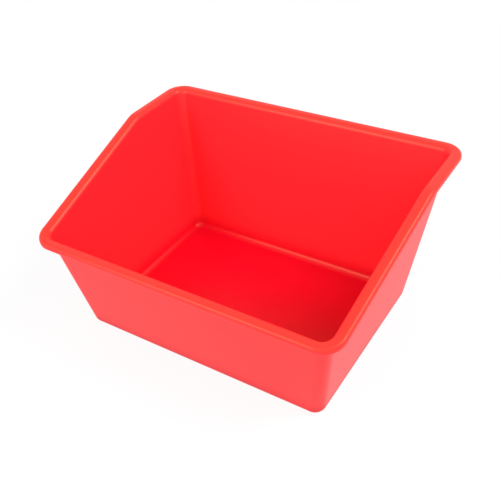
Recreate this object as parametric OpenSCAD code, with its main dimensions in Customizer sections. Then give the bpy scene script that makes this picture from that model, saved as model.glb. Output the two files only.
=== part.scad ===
// Open storage tub with a low front, a high back and sloping side rims.
// One moulded shell: a closed section is worked out at each station round the tub
// (foot, outside wall, hollow lip, inside wall, floor) and the sections are skinned.
// Millimetres. +Z up, the front faces -Y. Origin: bottom centre of the overall box.

/* [Base] */
// Width where the side walls would meet the table square
base_w = 260; // [200:5:340]
// Depth where the front and back walls would meet the table square
base_d = 186; // [140:2:240]
// Width of the level ring that the tub stands on
foot_w = 8; // [4:1:20]
// Height of the underside panel above the table
foot_recess = 0.8; // [0.4:0.1:2]
// Radius at the corners of the underside panel
foot_corner_r = 4; // [2:1:12]

/* [Height] */
// Height of the lip at the front
front_h = 112; // [90:1:135]
// Height of the lip at the back
back_h = 160; // [145:1:220]
// Level length of each side rim, from the back wall to the bend
level_len = 73.5; // [50:0.5:110]
// Radius of the bend between the level and the sloping rim
bend_r = 30; // [10:5:50]

/* [Walls] */
// Wall thickness, measured level
wall = 1.8; // [1.4:0.1:3]
// Floor thickness
floor_t = 2; // [1.4:0.1:3]
// Lean of the side walls from upright, in degrees
side_draft = 9; // [3:0.5:14]
// Lean of the front wall from upright, in degrees
front_draft = 8; // [3:0.5:14]
// Lean of the back wall from upright, in degrees
back_draft = 10.2; // [3:0.1:14]

/* [Rounding] */
// Radius between the inside walls and the floor
floor_fillet = 7.5; // [4:0.5:12]
// Extra radius of the inside upright corners over the floor fillet
corner_extra = 1.7; // [1:0.1:12]
// Extra radius of the outside base fillet over the floor fillet
heel_extra = 1; // [0:0.5:2]

/* [Lip] */
// Width of the lip, from the inside face of the wall to the outer edge
lip_w = 11; // [9:0.5:16]
// Height of the lip, from its crown to the bottom edge of its skirt
lip_drop = 6; // [5.5:0.5:14]
// Radius between the crown and the skirt
lip_out_r = 3.4; // [3.2:0.1:4.4]
// Width of the level land along the crown
lip_flat = 2.6; // [0.2:0.1:3]

/* [Smoothness] */
// Steps round each upright corner
corner_steps = 8; // [4:1:12]
// Steps across each fillet and each curve of the lip
round_steps = 5; // [3:1:7]
// Steps along the bend of the side rim
bend_steps = 6; // [2:1:10]

/* [Hidden] */

// Smallest radius that the mould is cut with
least_r = 0.4;

floor_z = foot_recess + floor_t;
base_fillet = floor_fillet + heel_extra;
corner_r = floor_fillet + corner_extra + wall;
lip_reach = lip_w - wall;
crown_o = lip_reach - lip_out_r;

front_y = -base_d/2 - front_h*tan(front_draft);
back_y = base_d/2 + back_h*tan(back_draft);
mid_y = (front_y + back_y)/2;
bend_y = back_y - level_len;
slope = atan((back_h - front_h)/(bend_y - front_y));
bend_len = bend_r*tan(slope/2);
bend_centre_y = bend_y + bend_len;

// ---- outline of the outside wall, seen from above, at height z ----

// Centre of the upright corner q: 0 front right, 1 back right, 2 back left, 3 front left
function corner_centre(q, z) =
    let (c = q % 4,
         x = base_w/2 + z*tan(side_draft) - corner_r,
         y_front = -base_d/2 - z*tan(front_draft) + corner_r,
         y_back = base_d/2 + z*tan(back_draft) - corner_r)
    [c < 2 ? x : -x, c == 0 || c == 3 ? y_front : y_back];

function heading(a) = [cos(a), sin(a)];

// A station is [corner, heading of the wall's normal, share of the way to the next corner].
// Its point at height z stands `out` outside the wall, and `pull` moves the corner centres in.
function wall_point(s, z, out = 0, pull = 0) =
    let (c0 = corner_centre(s[0], z),
         c1 = corner_centre(s[0] + 1, z),
         p0 = c0 - pull*[sign(c0.x), sign(c0.y)],
         p1 = c1 - pull*[sign(c1.x), sign(c1.y)],
         p = p0 + (p1 - p0)*s[2] + (corner_r + out)*heading(s[1]))
    [p.x, p.y, z];

// How far the wall leans out for each millimetre of height, along its normal
function lean(s) =
    abs(cos(s[1]))*tan(side_draft) + abs(sin(s[1]))*tan(sin(s[1]) < 0 ? front_draft : back_draft);

// Share of a fillet's radius between the corner it rounds and its tangent points
function setback(s) = tan(45 - atan(lean(s))/2);

// ---- height of the lip's crown ----

// Side view of the rim: level front, straight slope, bend, level back
function rim_line(y) =
    y <= front_y ? front_h
    : y <= bend_centre_y - bend_r*sin(slope) ? front_h + (y - front_y)*tan(slope)
    : y < bend_centre_y ? back_h - bend_r + sqrt(bend_r^2 - (y - bend_centre_y)^2)
    : back_h;

// The wall leans, so the height that a station ends at is found by repeated substitution
function rim_height(s, z = back_h, rounds = 12) =
    rounds == 0 ? z : rim_height(s, rim_line(wall_point(s, z).y), rounds - 1);

// ---- stations round the tub ----

// Shares along a side wall of the points on the bend, counted from the front corner
bend_shares = [
    for (i = [0:bend_steps])
        let (a = slope*(1 - i/bend_steps),
             y = bend_centre_y - bend_r*sin(a),
             z = back_h - bend_r + bend_r*cos(a),
             y0 = corner_centre(0, z).y,
             y1 = corner_centre(1, z).y)
        (y - y0)/(y1 - y0)
];

function between(q) =
    q == 0 ? [for (f = bend_shares) [0, 0, f]]
    : q == 2 ? [for (i = [bend_steps:-1:0]) [2, 180, 1 - bend_shares[i]]]
    : [];

stations = [
    for (q = [0:3]) each concat(
        [for (i = [0:corner_steps]) [q, 90*(q - 1) + 90*i/corner_steps, 0]],
        between(q))
];

// ---- the closed section at one station ----

// Points of an arc as [outward, up], from heading a0 to a1
function arc(centre, r, a0, a1, from = 0) =
    [for (i = [from:round_steps]) centre + r*heading(a0 + (a1 - a0)*i/round_steps)];

// Fillet that joins the wall offset by `out` to a level face at height z0
function fillet(s, r, z0, out, turns) =
    [for (p = turns)
        let (z = z0 + r*(1 + sin(p)), o = out + r*(cos(p) - setback(s)))
        wall_point(s, z, o - (z - z0)*lean(s))];

// Headings across a fillet, from level with the table to square with the wall
function fillet_turns(s) =
    [for (i = [0:round_steps]) -90 + (90 - atan(lean(s)))*i/round_steps];

function reversed(v) = [for (i = [len(v) - 1:-1:0]) v[i]];

// Lip as [outward from the wall's outside face, up from the crown], underside then top.
// The inside curve is tangent to the leaning wall, and the skirt's edge is fully round.
function lip_section(s) =
    let (d = atan(lean(s)),
         t = wall*cos(d),
         in_r = (crown_o - lip_flat + wall)/setback(s),
         in_c = [crown_o - lip_flat, -in_r],
         under_r = max(lip_out_r - t, least_r),
         under_c = [lip_reach - t - under_r, -t - under_r],
         edge_c = [lip_reach - t/2, t/2 - lip_drop])
    concat(
        arc(in_c, in_r - t, 180 - d, 90),
        arc(under_c, under_r, 90, 0),
        arc(edge_c, t/2, 180, 360),
        arc([crown_o, -lip_out_r], lip_out_r, 0, 90),
        arc(in_c, in_r, 90, 180 - d));

function section(s) =
    let (foot_in = base_fillet*setback(s) + foot_w,
         pull = foot_in - (corner_r - foot_corner_r),
         rim = rim_height(s),
         turns = fillet_turns(s))
    concat(
        [wall_point(s, foot_recess, foot_corner_r - corner_r, pull + foot_recess + lean(s)*foot_recess),
         wall_point(s, 0, foot_corner_r - corner_r, pull)],
        fillet(s, base_fillet, 0, 0, turns),
        [for (p = lip_section(s))
            let (at = wall_point(s, rim, p[0]))
            [at.x, at.y, rim + p[1]]],
        fillet(s, floor_fillet, floor_z, -wall, reversed(turns)));

// ---- skin ----

module tub() {
    rings = [for (s = stations) section(s)];
    n = len(rings);
    m = len(rings[0]);
    points = concat(
        [for (ring = rings) each ring],
        [[0, 0, foot_recess], [0, 0, floor_z]]);
    under = n*m;
    inside = n*m + 1;
    faces = [
        for (i = [0:n - 1])
            let (a = i*m, b = ((i + 1) % n)*m)
            each concat(
                [[under, a, b], [inside, b + m - 1, a + m - 1]],
                [for (j = [0:m - 2]) each [[a + j, a + j + 1, b + j + 1], [a + j, b + j + 1, b + j]]])
    ];
    color("red")
        translate([0, -mid_y, 0])
            polyhedron(points = points, faces = faces, convexity = 6);
}

tub();
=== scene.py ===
"""Looks of an open storage tub: one moulded shell of satin red plastic on a pale studio floor.

The shell is one closed surface. A station is a place on the way round the tub, and at each station the
same cross-section is worked out: underside, foot ring, base fillet, outside wall, hollow rolled lip,
inside wall, floor fillet, floor. Sizes are in millimetres, and meshes are written in metres.
"""

import logging
import math
from dataclasses import dataclass, field
from enum import Enum

import bpy
import numpy as np
from mathutils import Matrix, Vector


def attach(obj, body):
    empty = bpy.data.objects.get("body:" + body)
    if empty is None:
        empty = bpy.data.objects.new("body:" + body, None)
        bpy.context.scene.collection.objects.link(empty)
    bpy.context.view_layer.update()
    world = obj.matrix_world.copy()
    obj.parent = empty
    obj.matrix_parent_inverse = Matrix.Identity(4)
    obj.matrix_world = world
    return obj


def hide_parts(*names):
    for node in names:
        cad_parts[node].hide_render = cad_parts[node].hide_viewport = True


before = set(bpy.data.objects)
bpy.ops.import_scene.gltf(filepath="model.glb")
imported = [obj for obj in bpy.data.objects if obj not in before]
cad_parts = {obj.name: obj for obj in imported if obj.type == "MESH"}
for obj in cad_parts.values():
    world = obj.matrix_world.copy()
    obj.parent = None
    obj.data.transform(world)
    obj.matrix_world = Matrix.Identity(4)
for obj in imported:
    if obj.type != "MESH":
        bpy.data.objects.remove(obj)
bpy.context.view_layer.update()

log = logging.getLogger("storage_tub")

MM = 0.001
# Attribute for the share of rubbing, which also places the painted sheen on the lip's crown
RUB_AND_SHEEN = "rub_and_sheen"

# Arrays run over the stations first, and over the points of the section second
Grid = np.ndarray


# ---------------------------------------------------------------------------
# Small helpers
# ---------------------------------------------------------------------------


def tan_deg(angle: float) -> float:
    """Tangent of an angle given in degrees."""
    return math.tan(math.radians(angle))


def steps(start: float, stop: float, count: int) -> Grid:
    """A row of evenly spaced values, both ends included."""
    return np.linspace(start, stop, count + 1)[None, :]


def arc(
    centre_out: Grid, centre_up: Grid, radius: Grid, start: Grid, stop: Grid, count: int
) -> tuple[Grid, Grid]:
    """Points of an arc in a cross-section: centre + radius * (cos a, sin a), a running from start to stop.

    Args:
        centre_out: Centre, outward from the wall, one value for each station.
        centre_up: Centre, up from the crown, one value for each station.
        radius: Radius for each station.
        start: First heading for each station, in radians.
        stop: Last heading for each station, in radians.
        count: Number of steps along the arc.

    Returns:
        The points' distances outward and up, as two grids of stations by points.
    """
    turn = start + (stop - start) * steps(0, 1, count)
    return centre_out + radius * np.cos(turn), centre_up + radius * np.sin(turn)


def column(value: Grid | float, stations: int) -> Grid:
    """One value for each station, as a column that mixes with rows of points."""
    return np.broadcast_to(np.asarray(value, dtype=float).reshape(-1, 1), (stations, 1))


# ---------------------------------------------------------------------------
# Sizes
# ---------------------------------------------------------------------------


class Corner(Enum):
    """An upright corner: its side (+1 right), its end (+1 back) and the heading that its arc starts at."""

    FRONT_RIGHT = (1, -1, -90)
    BACK_RIGHT = (1, 1, 0)
    BACK_LEFT = (-1, 1, 90)
    FRONT_LEFT = (-1, -1, 180)


@dataclass(frozen=True)
class TubSizes:
    """Driving sizes of the tub in millimetres and degrees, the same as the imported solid's.

    Attributes:
        base_w: Width where the side walls would meet the table square.
        base_d: Depth where the front and back walls would meet the table square.
        foot_w: Width of the level ring that the tub stands on.
        foot_recess: Height of the underside panel above the table.
        foot_corner_r: Radius at the corners of the underside panel.
        front_h: Height of the lip at the front.
        back_h: Height of the lip at the back.
        level_len: Level length of each side rim, from the back wall to the bend.
        bend_r: Radius of the bend between the level and the sloping rim.
        wall: Wall thickness, measured level.
        floor_t: Floor thickness.
        side_draft: Lean of the side walls from upright.
        front_draft: Lean of the front wall from upright.
        back_draft: Lean of the back wall from upright.
        floor_fillet: Radius between the inside walls and the floor.
        corner_extra: Extra radius of the inside upright corners over the floor fillet.
        heel_extra: Extra radius of the outside base fillet over the floor fillet.
        lip_w: Width of the lip, from the inside face of the wall to the outer edge.
        lip_drop: Height of the lip, from its crown to the bottom edge of its skirt.
        lip_out_r: Radius between the crown and the skirt.
        lip_flat: Width of the level land along the crown.
        least_r: Smallest radius that the mould is cut with.
    """

    base_w: float = 260.0
    base_d: float = 186.0
    foot_w: float = 8.0
    foot_recess: float = 0.8
    foot_corner_r: float = 4.0
    front_h: float = 112.0
    back_h: float = 160.0
    level_len: float = 73.5
    bend_r: float = 30.0
    wall: float = 1.8
    floor_t: float = 2.0
    side_draft: float = 9.0
    front_draft: float = 8.0
    back_draft: float = 10.2
    floor_fillet: float = 7.5
    corner_extra: float = 1.7
    heel_extra: float = 1.0
    lip_w: float = 11.0
    lip_drop: float = 6.0
    lip_out_r: float = 3.4
    lip_flat: float = 2.6
    least_r: float = 0.4

    @property
    def floor_z(self) -> float:
        """Height of the inside floor."""
        return self.foot_recess + self.floor_t

    @property
    def base_fillet(self) -> float:
        """Radius between the outside walls and the foot."""
        return self.floor_fillet + self.heel_extra

    @property
    def corner_r(self) -> float:
        """Radius of the outside upright corners."""
        return self.floor_fillet + self.corner_extra + self.wall

    @property
    def lip_reach(self) -> float:
        """How far the lip stands out from the outside wall."""
        return self.lip_w - self.wall

    @property
    def crown_out(self) -> float:
        """Outer end of the level land along the crown."""
        return self.lip_reach - self.lip_out_r

    @property
    def front_y(self) -> float:
        """Where the outside of the front wall meets its rim."""
        return -self.base_d / 2 - self.front_h * tan_deg(self.front_draft)

    @property
    def back_y(self) -> float:
        """Where the outside of the back wall meets its rim."""
        return self.base_d / 2 + self.back_h * tan_deg(self.back_draft)

    @property
    def mid_y(self) -> float:
        """Middle of the whole tub, front to back, where the frame has its origin."""
        return (self.front_y + self.back_y) / 2

    @property
    def slope(self) -> float:
        """Slope of the side rims in radians."""
        run = self.back_y - self.level_len - self.front_y
        return math.atan2(self.back_h - self.front_h, run)

    @property
    def bend_centre_y(self) -> float:
        """Where the bend of a side rim ends and its level stretch begins."""
        return self.back_y - self.level_len + self.bend_r * math.tan(self.slope / 2)


@dataclass(frozen=True)
class Fineness:
    """How many steps each stretch of the surface has, and how close a guard row sits to a curve's end.

    Attributes:
        corner: Steps round each upright corner.
        bend: Steps along the bend of a side rim.
        stretch: Stations on each straight stretch of a wall.
        fillet: Steps across the floor fillet and the base fillet.
        lip: Steps across the large curves of the lip.
        edge: Steps across the small curves: the skirt's edge, the panel's edge and the gate mark.
        wall: Steps up a wall.
        panel: Rings between the middle of a panel and its edge.
        guard: Distance of a guard row from the curve that it keeps crisp, in millimetres.
    """

    corner: int = 18
    bend: int = 12
    stretch: int = 5
    fillet: int = 12
    lip: int = 10
    edge: int = 8
    wall: int = 6
    panel: int = 4
    guard: float = 0.7


# ---------------------------------------------------------------------------
# The wall, all the way round
# ---------------------------------------------------------------------------


@dataclass
class WallSurface:
    """The leaning outside wall as a function of the station, the height and an offset.

    A station is a corner, the heading of the wall's normal there, and the share of the way to the next
    corner, so an upright corner is a sweep of headings and a wall is a sweep of shares.

    Attributes:
        sizes: The tub's sizes.
        fineness: How finely its surface is divided.
        side: Side of each station's corner, +1 for the right.
        end: End of each station's corner, +1 for the back.
        next_side: Side of the corner that follows it.
        next_end: End of the corner that follows it.
        heading: Heading of the wall's normal at each station, in radians.
        share: Share of the way from the corner to the one that follows it.
    """

    sizes: TubSizes
    fineness: Fineness
    side: Grid = field(init=False)
    end: Grid = field(init=False)
    next_side: Grid = field(init=False)
    next_end: Grid = field(init=False)
    heading: Grid = field(init=False)
    share: Grid = field(init=False)

    def __post_init__(self) -> None:
        """Lays out the stations, corner by corner and then along the wall that follows."""
        corners = list(Corner)
        rows = []
        for corner, following in zip(corners, corners[1:] + corners[:1]):
            side, end, first = corner.value
            headings = np.radians(first + steps(0, 90, self.fineness.corner)[0])
            shares = self.wall_shares(corner)
            heading = np.concatenate([headings, np.full(len(shares), headings[-1])])
            share = np.concatenate([np.zeros(len(headings)), shares])
            fixed = np.tile([side, end, following.value[0], following.value[1]], (len(heading), 1))
            rows.append(np.column_stack([fixed, heading, share]))
        table = np.vstack(rows)
        self.side, self.end, self.next_side, self.next_end, self.heading, self.share = (
            table[:, i : i + 1] for i in range(table.shape[1])
        )

    @property
    def count(self) -> int:
        """Number of stations."""
        return len(self.heading)

    def wall_shares(self, corner: Corner) -> Grid:
        """Shares of the stations on the wall that follows a corner.

        Guard stations stand close to both corners. A side wall has further stations on the bend of its
        rim, at y = bend_centre_y - bend_r * sin(a) for evenly spaced slopes a.

        Args:
            corner: The corner that the wall starts from.

        Returns:
            Rising shares between 0 and 1, without the ends.
        """
        sizes, fine = self.sizes, self.fineness
        on_side = corner in (Corner.FRONT_RIGHT, Corner.BACK_LEFT)
        near = fine.guard / (sizes.base_d if on_side else sizes.base_w)
        if not on_side:
            return np.linspace(near, 1 - near, 2 * fine.stretch)
        turn = sizes.slope * (1 - steps(0, 1, fine.bend)[0])
        y = sizes.bend_centre_y - sizes.bend_r * np.sin(turn)
        z = sizes.back_h - sizes.bend_r + sizes.bend_r * np.cos(turn)
        y_front = -sizes.base_d / 2 - z * tan_deg(sizes.front_draft) + sizes.corner_r
        y_back = sizes.base_d / 2 + z * tan_deg(sizes.back_draft) - sizes.corner_r
        bend = (y - y_front) / (y_back - y_front)
        before = np.linspace(near, bend[0] - near, fine.stretch)
        after = np.linspace(bend[-1] + near, 1 - near, fine.stretch)
        shares = np.concatenate([before, bend, after])
        return shares if corner is Corner.FRONT_RIGHT else 1 - shares[::-1]

    def point(self, z: Grid, out: Grid, pull: Grid = 0.0) -> Grid:
        """Points on the wall: a mix of two corner centres by share, plus the radius along the heading.

        Args:
            z: Heights.
            out: Offsets outward from the outside wall.
            pull: How far the corner centres are moved inward.

        Returns:
            Points as a grid of stations by points by 3.
        """
        sizes = self.sizes

        def centre(side: Grid, end: Grid) -> tuple[Grid, Grid]:
            """Centre of an upright corner at these heights.

            Args:
                side: +1 for a corner on the right, -1 for one on the left.
                end: +1 for a corner at the back, -1 for one at the front.

            Returns:
                The centre's x and y.
            """
            end_slope = np.where(end < 0, tan_deg(sizes.front_draft), tan_deg(sizes.back_draft))
            half_w = sizes.base_w / 2 + z * tan_deg(sizes.side_draft) - sizes.corner_r - pull
            half_d = sizes.base_d / 2 + z * end_slope - sizes.corner_r - pull
            return side * half_w, end * half_d

        x0, y0 = centre(self.side, self.end)
        x1, y1 = centre(self.next_side, self.next_end)
        reach = sizes.corner_r + out
        x = x0 + (x1 - x0) * self.share + reach * np.cos(self.heading)
        y = y0 + (y1 - y0) * self.share + reach * np.sin(self.heading)
        return np.stack(np.broadcast_arrays(x, y, z), axis=-1)

    @property
    def lean(self) -> Grid:
        """How far the wall leans out for each millimetre of height, along its normal.

        It is |cos h| * the side's slope + |sin h| * the end's slope, with h the heading.

        Returns:
            One value for each station.
        """
        sizes = self.sizes
        across, along = np.cos(self.heading), np.sin(self.heading)
        end_slope = np.where(along < 0, tan_deg(sizes.front_draft), tan_deg(sizes.back_draft))
        return abs(across) * tan_deg(sizes.side_draft) + abs(along) * end_slope

    @property
    def setback(self) -> Grid:
        """Share of a fillet's radius between the corner it rounds and its ends: tan(45 deg - lean / 2)."""
        return np.tan(math.pi / 4 - np.arctan(self.lean) / 2)

    def rim_line(self, y: Grid) -> Grid:
        """Side view of the rim: level front, straight slope, bend of a constant radius, level back.

        Args:
            y: Places front to back.

        Returns:
            Heights of the crown there.
        """
        sizes = self.sizes
        from_bend = np.clip(y - sizes.bend_centre_y, -sizes.bend_r * math.sin(sizes.slope), 0)
        bend = sizes.back_h - sizes.bend_r + np.sqrt(sizes.bend_r**2 - from_bend**2)
        straight = sizes.front_h + (y - sizes.front_y) * math.tan(sizes.slope)
        on_slope = y < sizes.bend_centre_y - sizes.bend_r * math.sin(sizes.slope)
        return np.where(y <= sizes.front_y, sizes.front_h, np.where(on_slope, straight, bend))

    def rim_height(self, rounds: int = 20) -> Grid:
        """Height of the crown at each station, found by repeated substitution because the wall leans.

        Args:
            rounds: Number of substitutions.

        Returns:
            One height for each station.
        """
        height = column(self.sizes.back_h, self.count)
        for _ in range(rounds):
            height = self.rim_line(self.point(height, 0.0)[..., 1])
        return height


# ---------------------------------------------------------------------------
# The tub
# ---------------------------------------------------------------------------


@dataclass(frozen=True)
class GateMark:
    """The low round stub that the moulding gate leaves in the middle of the underside, in millimetres.

    Attributes:
        radius: Radius of the stub.
        drop: How far the stub hangs below the panel.
        land_radius: Radius of the round land that the stub stands on.
    """

    radius: float = 3.2
    drop: float = 0.35
    land_radius: float = 9.0


@dataclass
class TubShell:
    """The moulded tub: builds its surface as a grid of stations by section points, and dresses it.

    Attributes:
        sizes: The tub's sizes.
        fineness: How finely its surface is divided.
        gate: The mark of the moulding gate.
        rub_reach: How far below its crown the lip is rubbed in use and given its painted sheen, in
            millimetres.
        name: Name of the object.
        wall: The leaning outside wall.
        rim: Height of the crown at each station.
        tilt: Angle of the wall from upright at each station, in radians.
    """

    sizes: TubSizes = field(default_factory=TubSizes)
    fineness: Fineness = field(default_factory=Fineness)
    gate: GateMark = field(default_factory=GateMark)
    rub_reach: float = 3.0
    name: str = "tub_shell"
    wall: WallSurface = field(init=False)
    rim: Grid = field(init=False)
    tilt: Grid = field(init=False)

    def __post_init__(self) -> None:
        """Works out what every stretch of the section needs."""
        self.wall = WallSurface(self.sizes, self.fineness)
        self.rim = self.wall.rim_height()
        self.tilt = np.arctan(self.wall.lean)

    def fillet(self, radius: float, level: float, out: float, inward_first: bool) -> Grid:
        """Fillet between a level face and the wall.

        Its heading p runs from -90 degrees at the level face to minus the wall's tilt at the wall, with
        height = level + radius * (1 + sin p) and offset = out + radius * (cos p - setback), less what the
        wall has leaned out by that height.

        Args:
            radius: Radius of the fillet.
            level: Height of the level face.
            out: Offset of the wall face that it joins, from the outside wall.
            inward_first: True where the section passes the level face first.

        Returns:
            Points with a guard row on the level face and one on the wall.
        """
        guard = self.fineness.guard
        turn = -math.pi / 2 + (math.pi / 2 - self.tilt) * steps(0, 1, self.fineness.fillet)
        height = level + radius * (1 + np.sin(turn))
        offset = out + radius * (np.cos(turn) - self.wall.setback) - (height - level) * self.wall.lean
        height = np.concatenate([height[:, :1], height, height[:, -1:] + guard], axis=1)
        offset = np.concatenate([offset[:, :1] - guard, offset, column(out, self.wall.count)], axis=1)
        points = self.wall.point(height, offset)
        return points if inward_first else points[:, ::-1]

    def foot(self) -> Grid:
        """Edge of the underside panel: a half wave from the panel down to the foot ring.

        With u from 1 to 0, the edge is u * recess in from the ring and recess * (3 u^2 - 2 u^3) high.

        Returns:
            Points from the panel to the inner edge of the foot ring.
        """
        sizes = self.sizes
        foot_in = sizes.base_fillet * self.wall.setback + sizes.foot_w
        pull = foot_in - (sizes.corner_r - sizes.foot_corner_r)
        u = steps(1, 0, self.fineness.edge)
        height = sizes.foot_recess * (3 * u**2 - 2 * u**3)
        beyond = self.fineness.guard / sizes.foot_recess
        u = np.concatenate([u[:, :1] + beyond, u, u[:, -1:] - beyond], axis=1)
        height = np.concatenate([height[:, :1], height, height[:, -1:]], axis=1)
        inward = pull + u * sizes.foot_recess + self.wall.lean * height
        return self.wall.point(height, sizes.foot_corner_r - sizes.corner_r, inward)

    def panel(self, edge: Grid, radii: Grid, heights: Grid) -> Grid:
        """Level panel whose rings pass from circles round the middle to the shape of its edge.

        A ring of share f is circle * (1 - f) + edge * f, and the rings nearest the middle are circles.

        Args:
            edge: The panel's edge, one point for each station.
            radii: Radii of the circles, from the middle outward.
            heights: Height of each circle.

        Returns:
            Points from the middle to just inside the edge.
        """
        direction = np.arctan2(edge[:, 1], edge[:, 0])[:, None]
        circles = np.stack(
            np.broadcast_arrays(radii * np.cos(direction), radii * np.sin(direction), heights), axis=-1
        )
        share = np.linspace(0, 1, self.fineness.panel + 2)[None, 1:-1, None]
        rings = circles[:, -1:, :] * (1 - share) + edge[:, None, :] * share
        return np.concatenate([circles, rings], axis=1)

    def underside(self, edge: Grid) -> Grid:
        """Underside panel with the gate mark in the middle.

        The mark hangs down by drop * (1 + cos(pi * r / radius)) / 2 at the distance r from the middle.

        Args:
            edge: The panel's edge, one point for each station.

        Returns:
            Points from the middle to just inside the edge.
        """
        gate = self.gate
        stub = steps(0, gate.radius, self.fineness.edge)[:, 1:]
        radii = np.append(stub, [[gate.land_radius]], axis=1)
        hill = (1 + np.cos(math.pi * np.clip(radii / gate.radius, 0, 1))) / 2
        return self.panel(edge, radii, self.sizes.foot_recess - gate.drop * hill)

    def floor(self, edge: Grid) -> Grid:
        """Inside floor, from its edge to the middle."""
        radii = np.array([[self.gate.land_radius]])
        return self.panel(edge, radii, np.full((1, 1), self.sizes.floor_z))[:, ::-1]

    def lip(self) -> Grid:
        """Hollow lip: five arcs joined by straights, from the underside at the wall over to the inside.

        The inside curve is tangent to the leaning wall, the outer curve is a quarter circle, the skirt's
        edge is a half circle of half the thickness, and the underside runs a thickness below them.

        Returns:
            Points of the lip, at the height of the rim.
        """
        sizes, fine, count = self.sizes, self.fineness, self.wall.count
        thick = sizes.wall * np.cos(self.tilt)
        inner_r = (sizes.crown_out - sizes.lip_flat + sizes.wall) / self.wall.setback
        inner_out = column(sizes.crown_out - sizes.lip_flat, count)
        under_r = np.maximum(sizes.lip_out_r - thick, sizes.least_r)
        under_out = sizes.lip_reach - thick - under_r
        edge_r = thick / 2
        edge_out = sizes.lip_reach - edge_r
        crown_out = column(sizes.crown_out, count)
        outer_r = column(sizes.lip_out_r, count)
        quarter = column(math.pi / 2, count)
        level = column(0.0, count)
        into_wall = math.pi - self.tilt
        parts = [
            arc(inner_out, -inner_r, inner_r - thick, into_wall, quarter, fine.lip),
            arc(under_out, -thick - under_r, under_r, quarter, level, fine.edge),
            arc(edge_out, edge_r - sizes.lip_drop, edge_r, 2 * quarter, 4 * quarter, fine.edge),
            arc(crown_out, -outer_r, outer_r, level, quarter, fine.lip),
            arc(inner_out, -inner_r, inner_r, quarter, into_wall, fine.lip),
        ]
        out = np.concatenate([part[0] for part in parts], axis=1)
        up = np.concatenate([part[1] for part in parts], axis=1)
        at_rim = self.wall.point(self.rim, 0.0)
        x = at_rim[..., 0] + out * np.cos(self.wall.heading)
        y = at_rim[..., 1] + out * np.sin(self.wall.heading)
        return np.stack([x, y, self.rim + up], axis=-1)

    def between(self, start: Grid, stop: Grid, count: int) -> Grid:
        """Straight rows between two rows of points, with guard rows close to both.

        Args:
            start: First row of points.
            stop: Last row of points.
            count: Number of steps.

        Returns:
            The rows in between, without the ends.
        """
        length = np.linalg.norm(stop - start, axis=-1, keepdims=True)
        near = self.fineness.guard / length
        even = steps(0, 1, count)[:, 1:-1] + 0 * near
        share = np.concatenate([near, even, 1 - near], axis=1)
        return start[:, None, :] + (stop - start)[:, None, :] * share[..., None]

    def surface(self) -> Grid:
        """The whole section at every station, from the middle of the underside to the middle of the floor.

        Returns:
            Points in millimetres in the frame, as a grid of stations by points by 3.
        """
        sizes = self.sizes
        foot = self.foot()
        heel = self.fillet(sizes.base_fillet, 0.0, 0.0, inward_first=True)
        lip = self.lip()
        inside = self.fillet(sizes.floor_fillet, sizes.floor_z, -sizes.wall, inward_first=False)
        runs = [
            self.underside(foot[:, 0]),
            foot,
            heel,
            self.between(heel[:, -1], lip[:, 0], self.fineness.wall),
            lip,
            self.between(lip[:, -1], inside[:, 0], self.fineness.wall),
            inside,
            self.floor(inside[:, -1]),
        ]
        points = np.concatenate(runs, axis=1)
        points[..., 1] -= sizes.mid_y
        return points

    def rub_and_sheen(self, points: Grid) -> Grid:
        """How much a point is rubbed in use, which also places the painted sheen: 1 on the crown of the lip
        and on the foot ring, 0 elsewhere.

        It is exp(-(d / rub_reach)^2) at d below the crown, plus exp(-(h / recess)^2) at h above the table.

        Args:
            points: The surface in millimetres.

        Returns:
            One value for each point.
        """
        below_crown = (self.rim - points[..., 2]) / self.rub_reach
        above_table = points[..., 2] / self.sizes.foot_recess
        return np.exp(-(below_crown**2)) + np.exp(-(above_table**2))

    def build(self) -> bpy.types.Object:
        """Makes the mesh: quads between neighbouring stations, and a fan at each of the two poles.

        Returns:
            The tub's object, at the origin.
        """
        points = self.surface()
        stations, across = points.shape[:2]
        poles = np.array([
            [0.0, -self.sizes.mid_y, self.sizes.foot_recess - self.gate.drop],
            [0.0, -self.sizes.mid_y, self.sizes.floor_z],
        ])
        verts = np.concatenate([points.reshape(-1, 3), poles]) * MM
        here = np.arange(stations)[:, None] * across
        following = np.roll(here, -1, axis=0)
        step = np.arange(across - 1)[None, :]
        quads = np.stack([here + step, following + step, following + step + 1, here + step + 1], axis=-1)
        quads = quads.reshape(-1, 4)
        under, over = stations * across, stations * across + 1
        last = across - 1
        under_fan = np.column_stack([np.full(stations, under), following[:, 0], here[:, 0]])
        over_fan = np.column_stack([np.full(stations, over), here[:, 0] + last, following[:, 0] + last])
        mesh = bpy.data.meshes.new(self.name)
        mesh.from_pydata(verts.tolist(), [], quads.tolist() + under_fan.tolist() + over_fan.tolist())
        mesh.polygons.foreach_set("use_smooth", np.ones(len(mesh.polygons), dtype=bool))
        # Share of rubbing, which also places the painted sheen
        rubbed = np.concatenate([self.rub_and_sheen(points).reshape(-1), [0.0, 0.0]])
        mesh.attributes.new(RUB_AND_SHEEN, "FLOAT", "POINT").data.foreach_set("value", rubbed.astype(np.float32))
        mesh.update()
        tub = bpy.data.objects.new(self.name, mesh)
        bpy.context.scene.collection.objects.link(tub)
        return tub

    def dress(self, tub: bpy.types.Object, finish: "SatinPlastic") -> None:
        """Gives the tub its plastic and its place in the frame.

        Args:
            tub: The tub's object.
            finish: The plastic.
        """
        tub.data.materials.append(finish.material())
        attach(tub, "root")
        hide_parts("tub")


# ---------------------------------------------------------------------------
# The plastic
# ---------------------------------------------------------------------------


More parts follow.
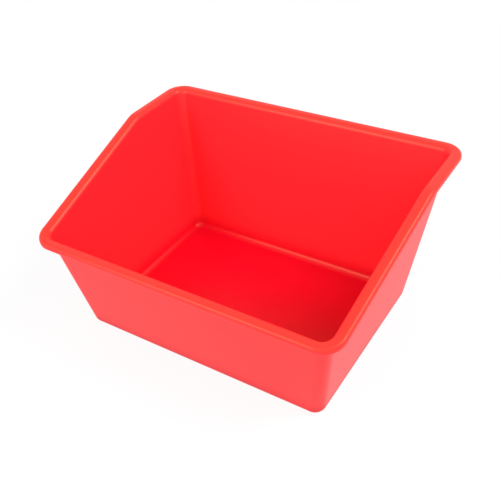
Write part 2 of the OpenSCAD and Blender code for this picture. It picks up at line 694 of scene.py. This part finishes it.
@dataclass(frozen=True)
class SatinPlastic:
    """Satin red moulded plastic: a fine spark-eroded grain over a slight waviness of the mould.

    Attributes:
        name: Name of the material.
        red: Colour of the walls.
        painted_shade_red: Colour of the floor, a darker red as painted shade where the walls shade it.
        rubbed_and_sheen_red: Warmer colour where the surface is rubbed, a painted sheen on the crown of the
            lip.
        deep_below: Height up to which the colour is the deep red, in millimetres.
        red_above: Height from which the colour is the walls' red, in millimetres.
        shade_size: Width of the slow changes of lightness, in millimetres.
        shade_detail: Finer layers of those changes.
        shade_spread: How far the lightness strays, as a share.
        grain_size: Width of the grain, in millimetres.
        grain_detail: Finer layers of the grain.
        grain_depth: Depth of the grain, in millimetres.
        wave_size: Width of the mould's waves, in millimetres.
        wave_detail: Finer layers of the waves.
        wave_depth: Depth of the waves, in millimetres.
        roughness: Middle of the roughness.
        roughness_spread: How far the roughness strays with the grain.
        rubbed_roughness: What rubbing adds to the roughness.
        ior: Index of refraction of the skin.
        gloss_tint: Tint of the gloss where the surface faces the viewer.
    """

    name: str = "satin_red_plastic"
    red: tuple[float, float, float] = (0.95, 0.022, 0.033)
    painted_shade_red: tuple[float, float, float] = (0.75, 0.0, 0.016)
    rubbed_and_sheen_red: tuple[float, float, float] = (0.95, 0.031, 0.025)
    deep_below: float = 4.0
    red_above: float = 22.0
    shade_size: float = 60.0
    shade_detail: float = 2.0
    shade_spread: float = 0.04
    grain_size: float = 0.5
    grain_detail: float = 3.0
    grain_depth: float = 0.014
    wave_size: float = 22.0
    wave_detail: float = 1.0
    wave_depth: float = 0.06
    roughness: float = 0.37
    roughness_spread: float = 0.08
    rubbed_roughness: float = 0.02
    ior: float = 1.38
    gloss_tint: tuple[float, float, float] = (1.0, 0.97, 0.56)

    def material(self) -> bpy.types.Material:
        """Builds the shader.

        Colour runs by height from a darker red on the floor, painted shade where the walls shade it, to the
        lighter red of the walls. It passes to a warmer red where the tub is rubbed, which is a painted
        sheen on the crown of the lip, and a slow noise makes it a little lighter and darker.
        Roughness is its middle value plus the grain noise times the spread, and a little more where the tub
        is rubbed. Height is the grain over the waviness.

        Returns:
            The material.
        """
        made = bpy.data.materials.new(self.name)
        made.use_nodes = True
        nodes, links = made.node_tree.nodes, made.node_tree.links
        shader = nodes["Principled BSDF"]
        shader.inputs["IOR"].default_value = self.ior
        shader.inputs["Specular Tint"].default_value = (*self.gloss_tint, 1)
        place = nodes.new("ShaderNodeTexCoord")

        def noise(size: float, detail: float) -> bpy.types.Node:
            """Noise that reads the tub's own coordinates.

            Args:
                size: Rough width of a blotch in millimetres.
                detail: How many finer layers the noise has.

            Returns:
                The noise node.
            """
            node = nodes.new("ShaderNodeTexNoise")
            node.inputs["Scale"].default_value = 1 / (size * MM)
            node.inputs["Detail"].default_value = detail
            links.new(place.outputs["Object"], node.inputs["Vector"])
            return node

        def bump(height: bpy.types.Node, depth: float, below: bpy.types.Node | None) -> bpy.types.Node:
            """Bump laid over another bump.

            Args:
                height: Node that gives the height, from 0 to 1.
                depth: How deep a height of 1 is, in millimetres.
                below: The bump under it, if there is one.

            Returns:
                The bump node.
            """
            node = nodes.new("ShaderNodeBump")
            node.inputs["Distance"].default_value = depth * MM
            links.new(height.outputs["Fac"], node.inputs["Height"])
            if below is not None:
                links.new(below.outputs["Normal"], node.inputs["Normal"])
            return node

        up = nodes.new("ShaderNodeSeparateXYZ")
        links.new(place.outputs["Object"], up.inputs["Vector"])
        # Painted shade: a darker red on the floor passing to the lighter red of the walls, by height
        painted_shade_share = nodes.new("ShaderNodeMapRange")
        painted_shade_share.interpolation_type = "SMOOTHSTEP"
        painted_shade_share.inputs["From Min"].default_value = self.deep_below * MM
        painted_shade_share.inputs["From Max"].default_value = self.red_above * MM
        links.new(up.outputs["Z"], painted_shade_share.inputs["Value"])
        colour = nodes.new("ShaderNodeMix")
        colour.data_type = "RGBA"
        colour.inputs["A"].default_value = (*self.painted_shade_red, 1)
        colour.inputs["B"].default_value = (*self.red, 1)
        links.new(painted_shade_share.outputs["Result"], colour.inputs["Factor"])
        lightness = nodes.new("ShaderNodeMapRange")
        lightness.inputs["To Min"].default_value = 1 - self.shade_spread
        lightness.inputs["To Max"].default_value = 1 + self.shade_spread
        links.new(noise(self.shade_size, self.shade_detail).outputs["Fac"], lightness.inputs["Value"])
        rubbed = nodes.new("ShaderNodeAttribute")
        rubbed.attribute_name = RUB_AND_SHEEN
        # Painted sheen: a warmer red on the crown of the lip and on the foot ring
        rubbed_and_sheen = nodes.new("ShaderNodeMix")
        rubbed_and_sheen.data_type = "RGBA"
        rubbed_and_sheen.inputs["B"].default_value = (*self.rubbed_and_sheen_red, 1)
        links.new(rubbed.outputs["Fac"], rubbed_and_sheen.inputs["Factor"])
        links.new(colour.outputs["Result"], rubbed_and_sheen.inputs["A"])
        shade = nodes.new("ShaderNodeHueSaturation")
        links.new(lightness.outputs["Result"], shade.inputs["Value"])
        links.new(rubbed_and_sheen.outputs["Result"], shade.inputs["Color"])
        links.new(shade.outputs["Color"], shader.inputs["Base Color"])

        grain = noise(self.grain_size, self.grain_detail)
        wave = noise(self.wave_size, self.wave_detail)
        spread = nodes.new("ShaderNodeMapRange")
        spread.inputs["To Min"].default_value = self.roughness - self.roughness_spread
        spread.inputs["To Max"].default_value = self.roughness + self.roughness_spread
        links.new(grain.outputs["Fac"], spread.inputs["Value"])
        scuffed = nodes.new("ShaderNodeMath")
        scuffed.operation = "MULTIPLY_ADD"
        scuffed.inputs[1].default_value = self.rubbed_roughness
        links.new(rubbed.outputs["Fac"], scuffed.inputs[0])
        links.new(spread.outputs["Result"], scuffed.inputs[2])
        links.new(scuffed.outputs["Value"], shader.inputs["Roughness"])

        relief = bump(grain, self.grain_depth, bump(wave, self.wave_depth, None))
        links.new(relief.outputs["Normal"], shader.inputs["Normal"])
        return made


# ---------------------------------------------------------------------------
# The studio
# ---------------------------------------------------------------------------


def seen_directly(tree: bpy.types.NodeTree) -> bpy.types.NodeSocket:
    """A socket that is 1 for camera, glossy and transmission rays, and 0 for the rays that carry light.

    Args:
        tree: The node tree that gets the nodes.

    Returns:
        The output socket.
    """
    rays = tree.nodes.new("ShaderNodeLightPath")
    total = rays.outputs["Is Camera Ray"]
    for kind in ("Is Glossy Ray", "Is Transmission Ray"):
        either = tree.nodes.new("ShaderNodeMath")
        either.operation = "MAXIMUM"
        tree.links.new(total, either.inputs[0])
        tree.links.new(rays.outputs[kind], either.inputs[1])
        total = either.outputs["Value"]
    return total


@dataclass(frozen=True)
class StudioFloor:
    """Plain pale floor: it glows up to white where it is seen, and the tub's shadow stays on it.

    Attributes:
        half_size: Half the floor's width, in metres.
        drop: How far the floor lies below the foot, in metres.
        colour: Colour of its paint, as the rays that carry light meet it.
        glow: Strength of the glow where it is seen.
        shaded: Colour of the weak diffuse that takes the shadow where it is seen.
        shadow_within: Distance from the middle up to which the shadow is shown, in metres.
        white_beyond: Distance from which the floor is plain white, in metres.
        name: Name of the floor and of its material.
    """

    half_size: float = 4.0
    drop: float = 0.0002
    colour: tuple[float, float, float] = (0.8, 0.8, 0.8)
    glow: float = 0.89
    shaded: tuple[float, float, float] = (0.11, 0.11, 0.11)
    shadow_within: float = 0.25
    white_beyond: float = 0.75
    name: str = "studio_floor"

    def lay(self) -> bpy.types.Object:
        """Lays the floor: four corners at plus and minus half its size, just below the tub's foot.

        Returns:
            The floor's object.
        """
        corners = np.array([[-1, -1], [1, -1], [1, 1], [-1, 1]]) * self.half_size
        verts = np.column_stack([corners, np.full(len(corners), -self.drop)])
        mesh = bpy.data.meshes.new(self.name)
        mesh.from_pydata(verts.tolist(), [], [[0, 1, 2, 3]])
        mesh.materials.append(self.material())
        floor = bpy.data.objects.new(self.name, mesh)
        bpy.context.scene.collection.objects.link(floor)
        return floor

    def material(self) -> bpy.types.Material:
        """Builds the shader.

        Seen directly it is a glow plus a weak diffuse that takes the shadow, and it passes to plain white
        with the distance from the middle. To the rays that carry light it is pale paint.

        Returns:
            The material.
        """
        made = bpy.data.materials.new(self.name)
        made.use_nodes = True
        tree = made.node_tree
        tree.nodes.clear()
        paint = tree.nodes.new("ShaderNodeBsdfDiffuse")
        paint.inputs["Color"].default_value = (*self.colour, 1)
        weak = tree.nodes.new("ShaderNodeBsdfDiffuse")
        weak.inputs["Color"].default_value = (*self.shaded, 1)
        glow = tree.nodes.new("ShaderNodeEmission")
        glow.inputs["Strength"].default_value = self.glow
        both = tree.nodes.new("ShaderNodeAddShader")
        white = tree.nodes.new("ShaderNodeEmission")
        place = tree.nodes.new("ShaderNodeTexCoord")
        away = tree.nodes.new("ShaderNodeVectorMath")
        away.operation = "LENGTH"
        share = tree.nodes.new("ShaderNodeMapRange")
        share.interpolation_type = "SMOOTHSTEP"
        share.inputs["From Min"].default_value = self.shadow_within
        share.inputs["From Max"].default_value = self.white_beyond
        shown = tree.nodes.new("ShaderNodeMixShader")
        tree.links.new(place.outputs["Object"], away.inputs[0])
        tree.links.new(away.outputs["Value"], share.inputs["Value"])
        tree.links.new(share.outputs["Result"], shown.inputs["Fac"])
        tree.links.new(both.outputs["Shader"], shown.inputs[1])
        tree.links.new(white.outputs["Emission"], shown.inputs[2])
        choose = tree.nodes.new("ShaderNodeMixShader")
        out = tree.nodes.new("ShaderNodeOutputMaterial")
        tree.links.new(weak.outputs["BSDF"], both.inputs[0])
        tree.links.new(glow.outputs["Emission"], both.inputs[1])
        tree.links.new(seen_directly(tree), choose.inputs["Fac"])
        tree.links.new(paint.outputs["BSDF"], choose.inputs[1])
        tree.links.new(shown.outputs["Shader"], choose.inputs[2])
        tree.links.new(choose.outputs["Shader"], out.inputs["Surface"])
        return made


@dataclass(frozen=True)
class WhiteSurround:
    """White all round.

    Attributes:
        seen_level: Strength where it is seen, in which 1 is white.
        light_level: Strength as light.
        name: Name of the world.
    """

    seen_level: float = 1.0
    light_level: float = 0.42
    name: str = "white_surround"

    def hang(self) -> None:
        """Puts the surround into the scene's world."""
        world = bpy.data.worlds.new(self.name)
        world.use_nodes = True
        tree = world.node_tree
        background = tree.nodes["Background"]
        background.inputs["Color"].default_value = (1, 1, 1, 1)
        strength = tree.nodes.new("ShaderNodeMapRange")
        strength.inputs["To Min"].default_value = self.light_level
        strength.inputs["To Max"].default_value = self.seen_level
        tree.links.new(seen_directly(tree), strength.inputs["Value"])
        tree.links.new(strength.outputs["Result"], background.inputs["Strength"])
        bpy.context.scene.world = world


@dataclass(frozen=True)
class Softbox:
    """A square soft lamp that hangs in a given direction and faces the tub.

    Attributes:
        name: Name of the lamp.
        towards: Direction from the tub to the lamp.
        distance: Distance of the lamp, in metres.
        size: Width of the lamp, in metres.
        radiance: Brightness of its face.
        aim: Point that it faces, in metres.
    """

    name: str
    towards: tuple[float, float, float]
    distance: float
    size: float
    radiance: float
    aim: tuple[float, float, float] = (0.0, 0.0, 0.08)

    def hang(self) -> bpy.types.Object:
        """Hangs the lamp. Its power is radiance * pi * area.

        Returns:
            The lamp's object.
        """
        lamp = bpy.data.lights.new(self.name, "AREA")
        lamp.shape = "SQUARE"
        lamp.size = self.size
        lamp.energy = self.radiance * math.pi * self.size**2
        box = bpy.data.objects.new(self.name, lamp)
        direction = Vector(self.towards).normalized()
        box.location = Vector(self.aim) + direction * self.distance
        box.rotation_mode = "QUATERNION"
        box.rotation_quaternion = direction.to_track_quat("Z", "Y")
        box.visible_camera = False
        bpy.context.scene.collection.objects.link(box)
        return box


@dataclass(frozen=True)
class TubCamera:
    """Camera in front and to the right of the tub, looking down into it.

    Attributes:
        azimuth: Turn from looking along +Y, in degrees.
        elevation: Height above the horizon, in degrees.
        roll: Turn of the picture, in degrees.
        distance: Distance to the target, in metres.
        target: Point that is looked at, in metres.
        lens: Focal length, in millimetres.
        sensor: Width of the sensor, in millimetres.
        nearest: Nearest distance that is shown, in metres.
        furthest: Furthest distance that is shown, in metres.
        name: Name of the camera.
    """

    azimuth: float = 35.148
    elevation: float = 37.676
    roll: float = -4.896
    distance: float = 0.677167
    target: tuple[float, float, float] = (0.010204, -0.011328, 0.080)
    lens: float = 51.564
    sensor: float = 36.0
    nearest: float = 0.01
    furthest: float = 50.0
    name: str = "tub_camera"

    def place(self) -> bpy.types.Object:
        """Places the camera and makes it the scene's own.

        It stands at target + distance * back, with back the direction of the azimuth and the elevation, and
        its level and upright axes are turned about back by the roll.

        Returns:
            The camera's object.
        """
        turn, rise, roll = (math.radians(a) for a in (self.azimuth, self.elevation, self.roll))
        back = Vector((math.sin(turn) * math.cos(rise), -math.cos(turn) * math.cos(rise), math.sin(rise)))
        level = (-back).cross(Vector((0, 0, 1))).normalized()
        upright = level.cross(-back)
        right = level * math.cos(roll) + upright * math.sin(roll)
        up = upright * math.cos(roll) - level * math.sin(roll)
        data = bpy.data.cameras.new(self.name)
        data.sensor_width = self.sensor
        data.lens = self.lens
        data.clip_start = self.nearest
        data.clip_end = self.furthest
        camera = bpy.data.objects.new(self.name, data)
        axes = Matrix((right, up, back)).transposed().to_4x4()
        camera.matrix_world = Matrix.Translation(Vector(self.target) + back * self.distance) @ axes
        bpy.context.scene.collection.objects.link(camera)
        bpy.context.scene.camera = camera
        return camera


@dataclass(frozen=True)
class Studio:
    """The studio that the tub stands in.

    Attributes:
        floor: The pale floor.
        surround: The white surround.
        lamps: A large main lamp, two fills, and two softboxes that draw the highlights on the lip.
        camera: The camera.
    """

    floor: StudioFloor = StudioFloor()
    surround: WhiteSurround = WhiteSurround()
    lamps: tuple[Softbox, ...] = (
        Softbox("main_softbox", (0.474, -0.502, 0.723), distance=1.6, size=1.75, radiance=0.62),
        Softbox("front_fill", (0.081, -0.924, 0.375), distance=1.6, size=1.2, radiance=0.5),
        Softbox("right_fill", (0.903, 0.079, 0.423), distance=1.6, size=1.2, radiance=0.25),
        Softbox("right_softbox", (0.608, 0.209, 0.766), distance=1.5, size=0.62, radiance=12.0),
        Softbox("front_left_softbox", (-0.362, -0.777, 0.515), distance=1.5, size=0.58, radiance=10.0),
    )
    camera: TubCamera = TubCamera()

    def set_up(self) -> None:
        """Builds the studio, with colours shown as they are written."""
        bpy.context.scene.view_settings.view_transform = "Standard"
        self.camera.place()
        self.floor.lay()
        self.surround.hang()
        for lamp in self.lamps:
            lamp.hang()


def main() -> None:
    """Builds the studio and the tub, and reports each piece."""
    logging.basicConfig(level=logging.INFO, format="%(name)s: %(message)s")
    Studio().set_up()
    shell = TubShell()
    tub = shell.build()
    shell.dress(tub, SatinPlastic())
    log.info("%s: %d faces at %d stations", tub.name, len(tub.data.polygons), shell.wall.count)


if __name__ == "__main__":
    main()
